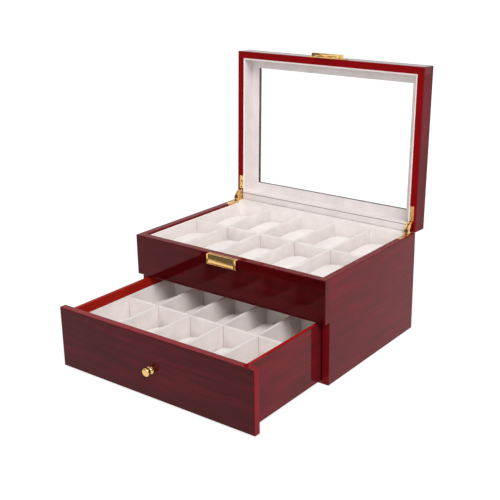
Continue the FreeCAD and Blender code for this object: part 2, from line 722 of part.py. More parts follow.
def case_leaf(side):
    """Hinge leaf in the rim of the case, with the quarter-round block that carries the pin."""
    name = "right_hinge_case_leaf" if side == RIGHT else "left_hinge_case_leaf"
    body = new_body(name)
    across = mirrored(side, *LEAF_X)
    bar = rectangle((LEAF_END, PIVOT_Y), (LEAF_BOTTOM, RIM))
    add(body, "YZ_Plane", bar, across)
    block_top = f"({PIVOT_Z} + sqrt(block_radius ^ 2 - block_back ^ 2))"
    block_y = f"({PIVOT_Y} - block_back)"
    block_front = f"({PIVOT_Y} - block_radius)"
    block = [
        (block_front, LEAF_BOTTOM),
        (block_y, LEAF_BOTTOM),
        (block_y, block_top, "block_radius"),
        (block_front, PIVOT_Z),
    ]
    add(body, "YZ_Plane", block, across)
    add(body, "YZ_Plane", ((PIVOT_Y, PIVOT_Z), "eye_radius"), across)
    slot = rectangle(
        (f"({block_front} - block_gap)", f"({BACK} + board)"),
        (f"({PIVOT_Z} - eye_radius - blade_play)", f"({PIVOT_Z} + block_radius + board)"),
    )
    cut(body, "YZ_Plane", slot, mirrored(side, *SLOT_X))
    cut(body, "YZ_Plane", ((PIVOT_Y, PIVOT_Z), "pin_radius"), across)
    sink_screws(body, side, RIM, -1)


def lid_leaf(side):
    """Hinge leaf in the rim of the lid, whose thin blade turns on the pin."""
    name = "right_hinge_lid_leaf" if side == RIGHT else "left_hinge_lid_leaf"
    body = new_body(name, place_lid)
    bar = rectangle((LEAF_END, LID_LEAF_BACK), (LID_RIM, LID_LEAF_TOP))
    add(body, "YZ_Plane", bar, mirrored(side, *LEAF_X))
    blade_across = mirrored(side, *BLADE_X)
    inside_bar = f"({LID_LEAF_BACK} - leaf_width)"
    blade = rectangle((inside_bar, PIVOT_Y), (LID_RIM, f"({LID_RIM} + blade_height)"))
    blade[3] = (inside_bar, LID_LEAF_TOP)
    blade.insert(3, (LID_LEAF_BACK, f"({LID_RIM} + blade_height)"))
    blade.insert(4, (LID_LEAF_BACK, LID_LEAF_TOP))
    add(body, "YZ_Plane", blade, blade_across)
    add(body, "YZ_Plane", ((PIVOT_Y, PIVOT_Z), "eye_radius"), blade_across)
    cut(body, "YZ_Plane", ((PIVOT_Y, PIVOT_Z), "(pin_radius + pin_play)"), blade_across)
    sink_screws(body, side, LID_RIM, 1)


def grouped(name, shapes, place):
    """Node of separate solids that are alike."""
    group = doc.addObject("Part::Feature", name)
    group.Label = name
    group.Shape = Part.makeCompound(shapes)
    place(group)
    node_objects.append(group)


def screw_form(top_to_tip):
    """Countersunk screw with its head's face at the origin, pointing up or down."""
    head = Part.makeCone(value("screw_head_radius"), value("screw_radius"), value("screw_head_height"))
    shank_length = value("screw_length - screw_head_height")
    shank = Part.makeCylinder(value("screw_radius"), shank_length, Vector(0, 0, value("screw_head_height")))
    screw = head.fuse(shank).removeSplitter()
    if top_to_tip < 0:
        screw.rotate(Vector(), Vector(1, 0, 0), 180)
    return screw


def hinges():
    """Both hinges, their pins and their screws."""
    for side in (LEFT, RIGHT):
        case_leaf(side)
        lid_leaf(side)
    pins = []
    screws = {-1: [], 1: []}
    for side in (LEFT, RIGHT):
        low, high = (value(formula) for formula in mirrored(side, *LEAF_X))
        start = Vector(low, value(PIVOT_Y), value(PIVOT_Z))
        pins.append(Part.makeCylinder(value("pin_radius"), high - low, start, Vector(1, 0, 0)))
        for place in SCREW_PLACES:
            for direction, top in ((-1, RIM), (1, LID_RIM)):
                screw = screw_form(direction)
                screw.translate(Vector(side * value(LEAF_MIDDLE), value(f"{PIVOT_Y} - {place}"), value(top)))
                screws[direction].append(screw)
    grouped("hinge_pins", pins, place_closed)
    grouped("case_screws", screws[-1], place_closed)
    grouped("lid_screws", screws[1], place_lid)


CLASP_TOP = "(case_height + clasp_rise)"
CLASP_BOTTOM = "(case_height + clasp_rise - clasp_height)"
CLASP_FACE = f"({FRONT} - clasp_plate)"
LEVER_BACK = f"({FRONT} - clasp_plate - lever_gap)"
LEVER_PIN_Y = f"({LEVER_BACK} - lever_pin_depth)"
LEVER_PIN_Z = "(case_height + clasp_rise - clasp_height / 2)"


def clasp():
    """Press catch on the front of the case: plate, lever, pin and spring."""
    half = "(clasp_width / 2)"
    plate = new_body("clasp_plate")
    add(plate, "XZ_Plane", rectangle((f"-{half}", half), (CLASP_BOTTOM, CLASP_TOP)), (CLASP_FACE, FRONT))
    for side in (LEFT, RIGHT):
        cheek = rectangle(mirrored(side, f"({half} - cheek_width)", half), (CLASP_BOTTOM, CLASP_TOP))
        add(plate, "XZ_Plane", cheek, (f"({CLASP_FACE} - cheek_reach)", CLASP_FACE))
    pin_place = (LEVER_PIN_Y, LEVER_PIN_Z)
    cut(plate, "YZ_Plane", (pin_place, "pin_radius"), (f"-{half}", half))

    lever_half = "(clasp_width / 2 - cheek_width - lever_side_play)"
    lever_bottom = f"({CLASP_BOTTOM} + lever_margin)"
    lever_top = f"({CLASP_TOP} - lever_margin)"
    lever_front = f"({LEVER_BACK} - lever_reach)"
    lever = new_body("clasp_lever")
    profile = [
        (LEVER_BACK, lever_bottom), (LEVER_BACK, lever_top), (f"({LEVER_BACK} - lever_top_edge)", lever_top),
        (lever_front, f"({lever_bottom} + lever_lip)"), (lever_front, lever_bottom),
    ]
    add(lever, "YZ_Plane", profile, (f"-{lever_half}", lever_half))
    tooth_top = f"({lever_top} - tooth_drop)"
    tooth_z = (f"({tooth_top} - tooth_height)", tooth_top)
    tooth = rectangle((LEVER_BACK, f"({LEVER_BACK} + tooth_reach)"), tooth_z)
    add(lever, "YZ_Plane", tooth, ("-tooth_width / 2", "tooth_width / 2"))
    cut(lever, "YZ_Plane", (pin_place, "(pin_radius + pin_play)"), (f"-{lever_half}", lever_half))

    pin = new_body("clasp_pin")
    add(pin, "YZ_Plane", (pin_place, "pin_radius"), (f"-{half}", half))

    spring = new_body("clasp_spring")
    foot = f"({lever_bottom} + spring_strip)"
    head = f"({foot} + spring_length)"
    crest = f"({foot} + spring_length / 2)"
    strip = [
        (CLASP_FACE, foot), (f"({CLASP_FACE} - spring_strip)", foot),
        (f"({CLASP_FACE} - spring_strip - spring_rise)", crest),
        (f"({CLASP_FACE} - spring_strip)", head), (CLASP_FACE, head),
        (f"({CLASP_FACE} - spring_rise)", crest),
    ]
    add(spring, "YZ_Plane", strip, ("-spring_width / 2", "spring_width / 2"))


def strike():
    """Strike on the lid's front, whose tongue hangs behind the lever when the lid is closed."""
    bottom = f"({LID_RIM} + strike_lift)"
    face = f"({FRONT} - strike_plate)"
    body = new_body("strike_plate", place_lid)
    plate_z = (bottom, f"({bottom} + strike_height)")
    add(body, "XZ_Plane", rectangle(("-strike_width / 2", "strike_width / 2"), plate_z), (face, FRONT))
    housing_z = (bottom, f"({bottom} + housing_height)")
    housing = rectangle(("-housing_width / 2", "housing_width / 2"), housing_z)
    add(body, "XZ_Plane", housing, (f"({face} - housing_reach)", face))
    tongue_back = f"({CLASP_FACE} - tongue_gap)"
    tongue_front = f"({tongue_back} - tongue_thickness)"
    tongue_bottom = f"({bottom} - tongue_length)"
    tongue_z = (tongue_bottom, f"({bottom} + strike_plate)")
    tongue = rectangle(("-tongue_width / 2", "tongue_width / 2"), tongue_z)
    add(body, "XZ_Plane", tongue, (tongue_front, tongue_back))
    tooth_top = f"({CLASP_TOP} - lever_margin - tooth_drop)"
    window = rectangle(
        ("-tooth_width / 2 - tooth_play", "tooth_width / 2 + tooth_play"),
        (f"({tooth_top} - tooth_height - tooth_play / 2)", f"({tooth_top} + tooth_play / 2)"),
    )
    cut(body, "XZ_Plane", window, (f"({tongue_front} - lever_gap)", tongue_back))


def cushion_section(height, inset):
    """Plan of the cushion at one height: rounded corners, and sides drawn in between them."""
    half_x = value(f"{DRAWER_COLUMN} / 2 - cushion_side_gap") - inset
    half_y = value(f"{DRAWER_ROW} / 2 - cushion_end_gap") - inset
    corner = value("cushion_corner") + value("cushion_corner_growth") * inset
    corner = min(corner, half_x * CORNER_LIMIT, half_y * CORNER_LIMIT)
    pull = value("cushion_pull")
    bend = corner * (1 - math.sqrt(0.5))
    edges = []
    for across, along in ((1, -1), (1, 1), (-1, 1), (-1, -1)):
        x = half_x * across
        y = half_y * along
        points = [
            Vector(x - corner * across, y, height),
            Vector(x - bend * across, y - bend * along, height),
            Vector(x, y - corner * along, height),
        ]
        side_x = across == along
        if side_x:
            points.reverse()
        edges.append(Part.Arc(*points).toShape())
        following = points[-1]
        if side_x:
            end = Vector(-following.x, y, height)
            middle = Vector(0, y - pull * along, height)
        else:
            end = Vector(x, -following.y, height)
            middle = Vector(x - pull * across, 0, height)
        edges.append(Part.Arc(following, middle, end).toShape())
    return Part.Wire(edges)


def cushion_form():
    """Stuffed cushion that stands at the origin, flat below, with shoulders that round into a crown."""
    height = value("cushion_height")
    crown = value("cushion_crown")
    power = value("cushion_fullness")
    wires = []
    for share in CUSHION_LEVELS:
        rise = (2 * share - 1) if share > 0.5 else (1 - 2 * share) * FOOT_SHARE
        inset = 2 * crown * (1 - (1 - rise ** power) ** (1 / power))
        wires.append(cushion_section(height * share, inset))
    return Part.makeLoft(wires, True, False)


def cushions(tier, inner_side, rows, base, place):
    """One loose cushion in each compartment."""
    form = cushion_form()
    for row_name, middle_y in rows:
        for index in range(COLUMNS):
            name = f"{tier}_cushion_{row_name}_{index + 1}"
            cushion = doc.addObject("Part::Feature", name)
            cushion.Label = name
            cushion.Shape = form.copy()
            x = f"({column_start(inner_side, index)} + {column_width(inner_side)} / 2)"
            cushion.setExpression("Placement.Base.x", link(x))
            cushion.setExpression("Placement.Base.y", link(f"{middle_y} - ({place})"))
            cushion.setExpression("Placement.Base.z", link(base))
            node_objects.append(cushion)


def all_cushions():
    """Cushions of both tiers."""
    tray_row = "((box_depth - board * 2 - lining * 2 - divider) / 2)"
    tray_rows = (
        ("front", f"(-divider / 2 - {tray_row} / 2)"),
        ("back", f"(divider / 2 + {tray_row} / 2)"),
    )
    cushions("tray", TRAY_INNER_SIDE, tray_rows, TRAY_BASE, "0")
    first = f"({DRAWER_FACE_BACK} + drawer_lining + {DRAWER_ROW} / 2)"
    drawer_rows = (("front", first), ("back", f"({first} + {DRAWER_ROW} + divider)"))
    cushions("drawer", DRAWER_LINED_SIDE, drawer_rows, DRAWER_BASE, "drawer_out")


case_boards()
tray()
drawer()
knob()
lid()
hinges()
clasp()
strike()
all_cushions()
doc.recompute()

for item in doc.Objects:
    if "Invalid" in item.State or "Error" in item.State:
        raise RuntimeError(f"{item.Label} failed: {item.State}")
for node in node_objects:
    if node.Shape.isNull() or not node.Shape.isValid() or not node.Shape.Solids:
        raise RuntimeError(f"{node.Label} has no valid shape")

os.makedirs("parts", exist_ok=True)
for node in node_objects:
    node.Shape.exportStep(f"parts/{node.Label}.step")
print(len(node_objects), "nodes written")
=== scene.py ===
# %% [markdown]
# # A watch box with a drawer
# The box is lacquered wood outside and cream velvet inside. Its lid has a window, its tray and its drawer are
# divided into ten compartments each, and a small cushion lies in every compartment. The boards, the hinges and the
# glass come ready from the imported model. This lesson gives them their finishes, and makes the soft pieces.

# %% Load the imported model
import bmesh
import bpy
import json
import math
from mathutils import Matrix, Vector, noise

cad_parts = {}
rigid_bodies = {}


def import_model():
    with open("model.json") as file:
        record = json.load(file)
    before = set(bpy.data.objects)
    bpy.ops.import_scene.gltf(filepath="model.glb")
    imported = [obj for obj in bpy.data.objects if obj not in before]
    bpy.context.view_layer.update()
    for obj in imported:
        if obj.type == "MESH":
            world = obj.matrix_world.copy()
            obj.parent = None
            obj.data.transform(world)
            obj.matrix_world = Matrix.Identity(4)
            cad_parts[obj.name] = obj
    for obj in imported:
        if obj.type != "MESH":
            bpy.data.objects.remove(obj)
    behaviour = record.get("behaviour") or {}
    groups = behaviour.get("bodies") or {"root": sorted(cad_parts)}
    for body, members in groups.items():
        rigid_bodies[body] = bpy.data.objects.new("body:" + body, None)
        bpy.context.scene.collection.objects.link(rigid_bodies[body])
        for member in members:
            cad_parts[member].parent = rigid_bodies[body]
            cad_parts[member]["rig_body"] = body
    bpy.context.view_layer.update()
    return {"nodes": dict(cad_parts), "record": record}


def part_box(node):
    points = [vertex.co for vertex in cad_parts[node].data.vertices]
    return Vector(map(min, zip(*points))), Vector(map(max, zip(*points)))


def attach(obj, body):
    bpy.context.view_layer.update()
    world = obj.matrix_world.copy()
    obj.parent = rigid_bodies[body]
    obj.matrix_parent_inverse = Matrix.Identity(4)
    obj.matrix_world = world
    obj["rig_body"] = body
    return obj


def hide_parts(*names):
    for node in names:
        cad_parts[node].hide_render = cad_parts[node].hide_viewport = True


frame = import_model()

MM = 0.001
nodes = frame["nodes"]
print("pieces in the packed model:", len(nodes))

# %% [markdown]
# ## Places that several steps need
# The lid stands open. Its boards were drawn on the closed box and turned back about the hinge pins, so a finish that
# follows its boards first turns the coordinates forward again. The pins' height and the angle are all it needs.

# %% The open lid
LID_ANGLE = math.radians(92)
PINS = Vector((0, 108, 138.2)) * MM
LID_SHIFT = PINS - Matrix.Rotation(-LID_ANGLE, 3, "X") @ PINS
print("a point of the closed lid moves by", [round(part, 4) for part in LID_SHIFT])

# %% [markdown]
# ## Shader maths
# A pattern is arithmetic on numbers that vary over a surface. Written out as nodes, that arithmetic is long and hard
# to read. So a small class wraps a socket, and its operators add the Math nodes. Every other node comes from one
# method, which sets the node up first and then fills or links its sockets.

# %% A number that varies, and a finish
class Varying:
    """A socket with a number in it; arithmetic on it adds Math nodes."""

    def __init__(self, finish, socket):
        self.finish = finish
        self.socket = socket

    def math(self, operation, *others):
        values = dict(enumerate((self, *others)))
        return self.finish.node("ShaderNodeMath", {"operation": operation}, values)

    def __add__(self, other):
        return self.math("ADD", other)

    def __sub__(self, other):
        return self.math("SUBTRACT", other)

    def __rsub__(self, other):
        return (self * -1).math("ADD", other)

    def __mul__(self, other):
        return self.math("MULTIPLY", other)

    __radd__ = __add__
    __rmul__ = __mul__

    def clamped(self):
        return self.math("MAXIMUM", 0).math("MINIMUM", 1)

    def larger(self, other):
        return self.math("MAXIMUM", other)


class Finish:
    """A material, whose method adds nodes to it."""

    def __init__(self, name):
        self.material = bpy.data.materials.new(name)
        self.material.use_nodes = True
        self.tree = self.material.node_tree
        self.tree.nodes.clear()

    def node(self, kind, settings=None, values=None, output=0):
        made = self.tree.nodes.new(kind)
        for name, setting in (settings or {}).items():
            if name == "stops":
                self.set_stops(made.color_ramp, setting)
            else:
                setattr(made, name, setting)
        for name, given in (values or {}).items():
            if isinstance(given, Varying):
                self.tree.links.new(given.socket, made.inputs[name])
            else:
                made.inputs[name].default_value = given
        return Varying(self, made.outputs[output]) if made.outputs else made

    def set_stops(self, ramp, stops):
        while len(ramp.elements) < len(stops):
            ramp.elements.new(0.5)
        for element, (place, tint) in zip(ramp.elements, stops):
            element.position = place
            element.color = tint

    def ramp(self, level, stops):
        """Colours at places from 0 to 1, read off by a level."""
        return self.node("ShaderNodeValToRGB", {"stops": stops}, {"Fac": level})

    def mixed(self, share, first, second):
        """The first colour where the share is 0, the second where it is 1."""
        return self.node("ShaderNodeMix", {"data_type": "RGBA"}, {"Factor": share, 6: first, 7: second}, output=2)

    def closed(self, shader):
        self.node("ShaderNodeOutputMaterial", values={"Surface": shader})
        return self.material


def paint(red, green, blue):
    """A colour as it looks on a screen, 0 to 255, turned into light."""
    light = []
    for part in (red, green, blue):
        share = part / 255
        light.append(share / 12.92 if share <= 0.04045 else ((share + 0.055) / 1.055) ** 2.4)
    return (*light, 1)


print("mid grey as light:", round(paint(128, 128, 128)[0], 3))

# %% [markdown]
# ## Lacquered wood
# The outer faces are veneer: fine brown and red streaks that run with the board, and hardly differ. The veneer is
# painted darker on the faces turned to the front, and darker still on the panel over the drawer and the back wall, as
# painted shade. It is painted lighter on the faces turned to the sides and on the lid's front and rear rails, as
# painted light. The edges and the inner faces are painted a brighter, plainer red. Both lie under a thick clear
# lacquer, the coat of the shader. The lacquer mirrors little when seen straight on and much at a slant, so sides and
# rims look milky next to the front. The panel over the drawer was polished once more: it mirrors what lies in the
# open drawer, tinted by the wood.

# %% Coordinates of a board
AXES = ("X", "Y", "Z")


def board_place(finish, on_lid):
    """Object coordinates in metres, turned back to the closed box for the lid's boards."""
    place = finish.node("ShaderNodeTexCoord", output="Object")
    if not on_lid:
        return place
    turn = {"Vector": place, "Location": LID_SHIFT, "Rotation": (-LID_ANGLE, 0, 0)}
    return finish.node("ShaderNodeMapping", {"vector_type": "TEXTURE"}, turn)


def stretched(finish, place, along, fine, coarse):
    """Noise drawn out along one axis, as wood grain is."""
    scale = [fine] * 3
    scale[AXES.index(along)] = coarse
    drawn = finish.node("ShaderNodeMapping", {"vector_type": "POINT"}, {"Vector": place, "Scale": scale})
    return finish.node("ShaderNodeTexNoise", values={"Vector": drawn, "Scale": 1, "Detail": 4, "Roughness": 0.6})


def outside(finish, place, planes):
    """1 on the outer faces named as axis, side and distance in millimetres, and 0 elsewhere."""
    parts = finish.node("ShaderNodeSeparateXYZ", values={"Vector": place})
    mask = None
    for axis, side, distance in planes:
        part = Varying(finish, parts.socket.node.outputs[axis])
        past = ((part * (side / MM) - (distance - 0.8)) * 2).clamped()
        mask = past if mask is None else mask.larger(past)
    return mask


# %% Veneer and painted edges
# The front and panel tints are darker veneer, as painted shade; the side tints are lighter veneer, as painted light.
SHADED_FRONT_VENEER = ((62, 15, 16), (73, 16, 19), (90, 17, 25))
SHADED_PANEL_VENEER = ((56, 7, 8), (65, 7, 10), (80, 8, 14))
LIT_SIDE_VENEER = ((90, 25, 27), (104, 22, 30), (122, 22, 35))
VENEER_STOPS = (0.4, 0.5, 0.62)


def lacquered_wood(
    name, along, planes, front=SHADED_FRONT_VENEER, on_lid=False, edge=(122, 16, 24), coat=1.0, edge_coat=1.0, gloss=0.0,
):
    """Veneer on the outer faces, lighter on the X faces as painted light and darker on the others as painted shade,
    red paint elsewhere, and clear lacquer over all of it.
    """
    finish = Finish(name)
    place = board_place(finish, on_lid)
    bands = stretched(finish, place, along, 120, 9)
    fibres = stretched(finish, place, along, 620, 30)
    patches = stretched(finish, place, along, 26, 8)
    streaks = bands * 0.4 + fibres * 0.25 + patches * 0.35
    front, side = [
        finish.ramp(streaks, [(stop, paint(*tint)) for stop, tint in zip(VENEER_STOPS, tints)])
        for tints in (front, LIT_SIDE_VENEER)
    ]
    # The faces along X take the lighter veneer: painted light on the sides.
    lit_side_share = outside(finish, place, [plane for plane in planes if plane[0] == "X"])
    veneer = finish.mixed(lit_side_share, front, side)
    painted = finish.ramp(patches, [(0.3, paint(*(part * 0.88 for part in edge))), (0.7, paint(*edge))])
    mask = outside(finish, place, planes)
    colour = finish.mixed(mask, painted, veneer)
    shader = finish.node("ShaderNodeBsdfPrincipled", values={
        "Base Color": colour,
        "Roughness": fibres * 0.2 + 0.35,
        "Specular IOR Level": 0.0,
        "Coat Weight": mask * (coat - edge_coat) + edge_coat,
        "Coat Roughness": 0.03,
        "Coat IOR": 1.2,
    })
    if gloss:
        mirror = finish.node("ShaderNodeBsdfPrincipled", values={
            "Base Color": colour,
            "Roughness": fibres * 0.04 + 0.03,
            "Specular IOR Level": gloss,
            "Specular Tint": (1.0, 0.12, 0.14, 1),
            "Coat Weight": 0.3,
            "Coat Roughness": 0.03,
            "Coat IOR": 1.2,
        })
        front_side = outside(finish, place, [plane for plane in planes if plane[0] == "Y"])
        shader = finish.node("ShaderNodeMixShader", values={"Fac": front_side, 1: shader, 2: mirror})
    return finish.closed(shader)


CASE_FACES = [("X", 1, 150), ("X", -1, 150), ("Y", -1, 109), ("Y", 1, 109)]
LID_FACES = CASE_FACES + [("Z", 1, 162.4)]
DRAWER_FRONT_FACE = [("Y", -1, 245), ("X", 1, 155)]
DRAWER_SIDE_FACES = [("X", 1, 137), ("X", -1, 137)]
LID_RIM = {"on_lid": True, "edge": (138, 8, 13), "coat": 0.65, "edge_coat": 0.2}
# The lid's front and rear rails take the lighter veneer all over, as painted light.
wood = {
    "across the case": lacquered_wood(
        "case_veneer_across", "X", CASE_FACES, SHADED_PANEL_VENEER, edge_coat=0.7, gloss=0.26,
    ),
    "along the case": lacquered_wood("case_veneer_along", "Y", CASE_FACES, edge_coat=0.7),
    "across the lid": lacquered_wood("lid_veneer_across", "X", LID_FACES, LIT_SIDE_VENEER, **LID_RIM | {"coat": 1.0}),
    "along the lid": lacquered_wood("lid_veneer_along", "Y", LID_FACES, **LID_RIM),
    "window frame": lacquered_wood(
        "lid_veneer_window", "X", LID_FACES, on_lid=True, edge=(60, 34, 42), coat=0.45,
    ),
    "drawer face": lacquered_wood("drawer_veneer_across", "X", DRAWER_FRONT_FACE, edge=(146, 22, 35), edge_coat=0.8),
    "drawer sides": lacquered_wood(
        "drawer_veneer_along", "Y", DRAWER_SIDE_FACES, edge=(172, 32, 23), edge_coat=0.3,
    ),
}
print("woods:", len(wood))

# %% [markdown]
# ## Plain boards
# The underside, the tray's floor and the drawer's bottom are thin brown boards that nobody sees in use. They get a
# dull finish with a fine speckle.

# %% Thin board
def thin_board(name):
    """Dull fibreboard."""
    finish = Finish(name)
    place = board_place(finish, False)
    speckle = finish.node("ShaderNodeTexNoise", values={"Vector": place, "Scale": 700, "Detail": 3})
    colour = finish.ramp(speckle, [(0.3, paint(104, 40, 32)), (0.7, paint(134, 56, 44))])
    bump = finish.node("ShaderNodeBump", values={"Height": speckle, "Strength": 0.15, "Distance": 0.0004})
    shader = finish.node("ShaderNodeBsdfPrincipled", values={
        "Base Color": colour, "Roughness": 0.8, "Normal": bump,
    })
    return finish.closed(shader)


plain_board = thin_board("thin_board")
print("made", plain_board.name)

# %% [markdown]
# ## Velvet
# Velvet is a short, dense pile. It looks brighter where it curves away, which is the sheen, and it has soft patches
# where the pile leans another way. Under that lies a very fine grain. Where the lining turns over its lip, a lighter
# colour is painted on as a painted highlight, and a thin line along the crease on the open lid is painted darker as
# painted shade.

# %% Velvet
def velvet(name, tint, patch_scale=55, crease_shade=None, lip_highlight=None):
    """Short pile with leaning patches; a painted highlight where the lining turns over its edge, and a line of
    painted shade along a fold on the open lid, placed as on the closed box.
    """
    finish = Finish(name)
    place = board_place(finish, crease_shade is not None)
    patches = finish.node(
        "ShaderNodeTexNoise", values={"Vector": place, "Scale": patch_scale, "Detail": 4, "Roughness": 0.55},
    )
    pile = finish.node("ShaderNodeTexNoise", values={"Vector": place, "Scale": 1900, "Detail": 2})
    lean = patches * 0.7 + pile * 0.3
    dark = paint(*(part * 0.965 for part in tint))
    light = paint(*(min(255, part * 1.015) for part in tint))
    colour = finish.ramp(lean, [(0.35, dark), (0.65, light)])
    parts = finish.node("ShaderNodeSeparateXYZ", values={"Vector": place})
    across, up = [Varying(finish, parts.socket.node.outputs[axis]) * (1 / MM) for axis in ("Y", "Z")]
    # Painted highlight: the velvet is painted lighter where the lining turns over its lip.
    if lip_highlight:
        height, side = lip_highlight
        lip_highlight_share = ((up * side - (height * side - 0.7)) * 3).clamped() * ((97.3 - across) * 3).clamped()
        colour = finish.mixed(lip_highlight_share, colour, paint(252, 240, 237))
    # Painted shade: a thin darker line along the crease on the open lid.
    if crease_shade:
        off_line = (across - crease_shade[0]).math("ABSOLUTE").larger(up - crease_shade[1])
        colour = finish.mixed(((0.7 - off_line) * 3).clamped(), colour, paint(150, 132, 124))
    height = pile * 0.6 + patches * 0.4
    bump = finish.node("ShaderNodeBump", values={"Height": height, "Strength": 0.35, "Distance": 0.0004})
    shader = finish.node("ShaderNodeBsdfPrincipled", values={
        "Base Color": colour,
        "Roughness": 0.9,
        "Specular IOR Level": 0.15,
        "Sheen Weight": 0.25,
        "Sheen Roughness": 0.4,
        "Sheen Tint": (1, 0.97, 0.95, 1),
        "Normal": bump,
    })
    return finish.closed(shader)


lining_velvet = velvet("lining_velvet", (234, 226, 223))
tray_velvet = velvet("tray_lining_velvet", (234, 226, 223), lip_highlight=(134, 1))
lid_velvet = velvet("lid_lining_velvet", (228, 220, 218), crease_shade=(99.5, 137.6), lip_highlight=(138, -1))
# The cushions' velvet is a lighter copy of the lining velvet: painted light for the brighter cushion tops.
cushion_velvet = velvet("cushion_velvet", (248, 240, 236), 35)
print("made", lining_velvet.name, "and", cushion_velvet.name)

# %% [markdown]
# ## Brass, steel and glass
# The fittings are polished and plated. A polished metal shows little of its own but what it mirrors, so its colour
# is even, and only its roughness wanders a little. The clasp's hidden spring is plain steel. The pane is clear.

# %% Metals
def metal(name, tint, smooth, rough):
    """Polished metal whose polish wanders."""
    finish = Finish(name)
    place = board_place(finish, False)
    wander = finish.node("ShaderNodeTexNoise", values={"Vector": place, "Scale": 260, "Detail": 3})
    dark = paint(*(part * 0.9 for part in tint))
    colour = finish.ramp(wander, [(0.3, dark), (0.7, paint(*tint))])
    shader = finish.node("ShaderNodeBsdfPrincipled", values={
        "Base Color": colour, "Metallic": 1.0, "Roughness": wander * (rough - smooth) + smooth,
    })
    return finish.closed(shader)


brass = metal("polished_brass", (246, 200, 126), 0.06, 0.22)
steel = metal("spring_steel", (150, 150, 155), 0.2, 0.4)
print("made", brass.name, "and", steel.name)

# %% Glass
def clear_glass():
    """Window glass with the faintest wipe marks."""
    finish = Finish("window_glass")
    place = board_place(finish, False)
    marks = finish.node("ShaderNodeTexNoise", values={"Vector": place, "Scale": 30, "Detail": 2})
    shader = finish.node("ShaderNodeBsdfPrincipled", values={
        "Base Color": (0.985, 1.0, 0.995, 1),
        "Roughness": marks * 0.02,
        "IOR": 1.45,
        "Transmission Weight": 1.0,
    })
    return finish.closed(shader)


glass = clear_glass()
print("made", glass.name)

# %% [markdown]
# ## Finishes for the ready pieces
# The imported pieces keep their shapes, and only their material slots are filled.

# %% Dress the ready pieces
FINISHES = {
    "upper_front_panel": "across the case",
    "back_wall": "across the case",
    "left_side_wall": "along the case",
    "right_side_wall": "along the case",
    "drawer_front": "drawer face",
    "drawer_back": "drawer face",
    "drawer_left_side": "drawer sides",
    "drawer_right_side": "drawer sides",
    "lid_front_rail": "across the lid",
    "lid_rear_rail": "across the lid",
    "lid_top_frame": "window frame",
    "lid_left_rail": "along the lid",
    "lid_right_rail": "along the lid",
}
SLOT_FINISHES = {
    "plain_board": plain_board,
    "velvet_lining": lining_velvet,
    "cushion_velvet": cushion_velvet,
    "polished_brass": brass,
    "spring_steel": steel,
    "window_glass": glass,
}


def dress(piece, material):
    """Give a whole piece one material."""
    piece.data.materials.clear()
    piece.data.materials.append(material)


slot_of = {part["node"]: part["material_slot"] for part in frame["record"]["subparts"]}
for name, node in nodes.items():
    dress(node, wood[FINISHES[name]] if name in FINISHES else SLOT_FINISHES[slot_of[name]])
print("dressed", len(nodes), "pieces")

# %% [markdown]
# ## Soft edges
# Cloth over a board never keeps a sharp edge, and neither does cast brass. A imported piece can't be changed, so its
# mesh is copied, its loose triangles are merged, and the sharp edges that show are bevelled. The copy then stands
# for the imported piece.

# %% Bevelled copies
def merged_copy(node_names):
    """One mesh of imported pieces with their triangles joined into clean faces."""
    shape = bmesh.new()
    for name in node_names:
        shape.from_mesh(nodes[name].data)
    bmesh.ops.remove_doubles(shape, verts=shape.verts, dist=0.01 * MM)
    bmesh.ops.dissolve_limit(
        shape, angle_limit=math.radians(0.5), verts=shape.verts, edges=shape.edges, use_dissolve_boundaries=False,
    )
    return shape


def finished_piece(name, shape, material, body):
    """Turn a bmesh into a smooth-shaded piece that rides on a body."""
    mesh = bpy.data.meshes.new(name)
    shape.to_mesh(mesh)
    shape.free()
    piece = bpy.data.objects.new(name, mesh)
    bpy.context.scene.collection.objects.link(piece)
    dress(piece, material)
    for face in mesh.polygons:
        face.use_smooth = True
    mesh.set_sharp_from_angle(angle=math.radians(40))
    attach(piece, body)
    return piece


def bevelled(name, node_names, radius, segments, chosen, material):
    """A copy whose chosen sharp edges are rounded; the radius is in millimetres."""
    shape = merged_copy(node_names)
    edges = [
        edge for edge in shape.edges
        if len(edge.link_faces) == 2 and edge.calc_face_angle() > math.radians(30) and chosen(edge)
    ]
    bmesh.ops.bevel(
        shape, geom=edges, offset=radius * MM, offset_type="OFFSET", segments=segments, profile=0.5,
        affect="EDGES", material=-1, clamp_overlap=True,
    )
    piece = finished_piece(name, shape, material, nodes[node_names[0]]["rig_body"])
    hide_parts(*node_names)
    print(name, "has", len(edges), "rounded edges and", len(piece.data.polygons), "faces")
    return piece


def near_top(height):
    """Edges whose ends both lie at or above a height in millimetres."""
    return lambda edge: all(vertex.co.z > (height - 0.05) * MM for vertex in edge.verts)


def touches_top(height):
    """Edges that reach up to a height in millimetres."""
    return lambda edge: any(abs(vertex.co.z - height * MM) < 0.05 * MM for vertex in edge.verts)


def outward_edge(edge):
    """Edges that stick out; rounding an inner one would fill the gap around a hinge."""
    return edge.is_convex


def long_edge(edge):
    """Edges that aren't part of a small round."""
    return edge.calc_length() > 1.2 * MM


# %% Velvet over boards
bevelled("tray_velvet", ["tray_lining"], 0.85, 3, near_top(134), tray_velvet)
bevelled("tray_long_divider", ["tray_cross_divider"], 1.2, 4, touches_top(132.5), lining_velvet)
bevelled("tray_short_dividers", ["tray_row_dividers"], 1.2, 4, touches_top(132.5), lining_velvet)
bevelled("drawer_velvet", ["drawer_lining"], 0.7, 3, near_top(67), lining_velvet)
bevelled("drawer_long_divider", ["drawer_cross_divider"], 1.2, 4, touches_top(66), lining_velvet)
bevelled("drawer_short_dividers", ["drawer_row_dividers"], 1.2, 4, touches_top(66), lining_velvet)
lid_copy = bevelled("lid_velvet", ["lid_lining"], 0.8, 3, outward_edge, lid_velvet)

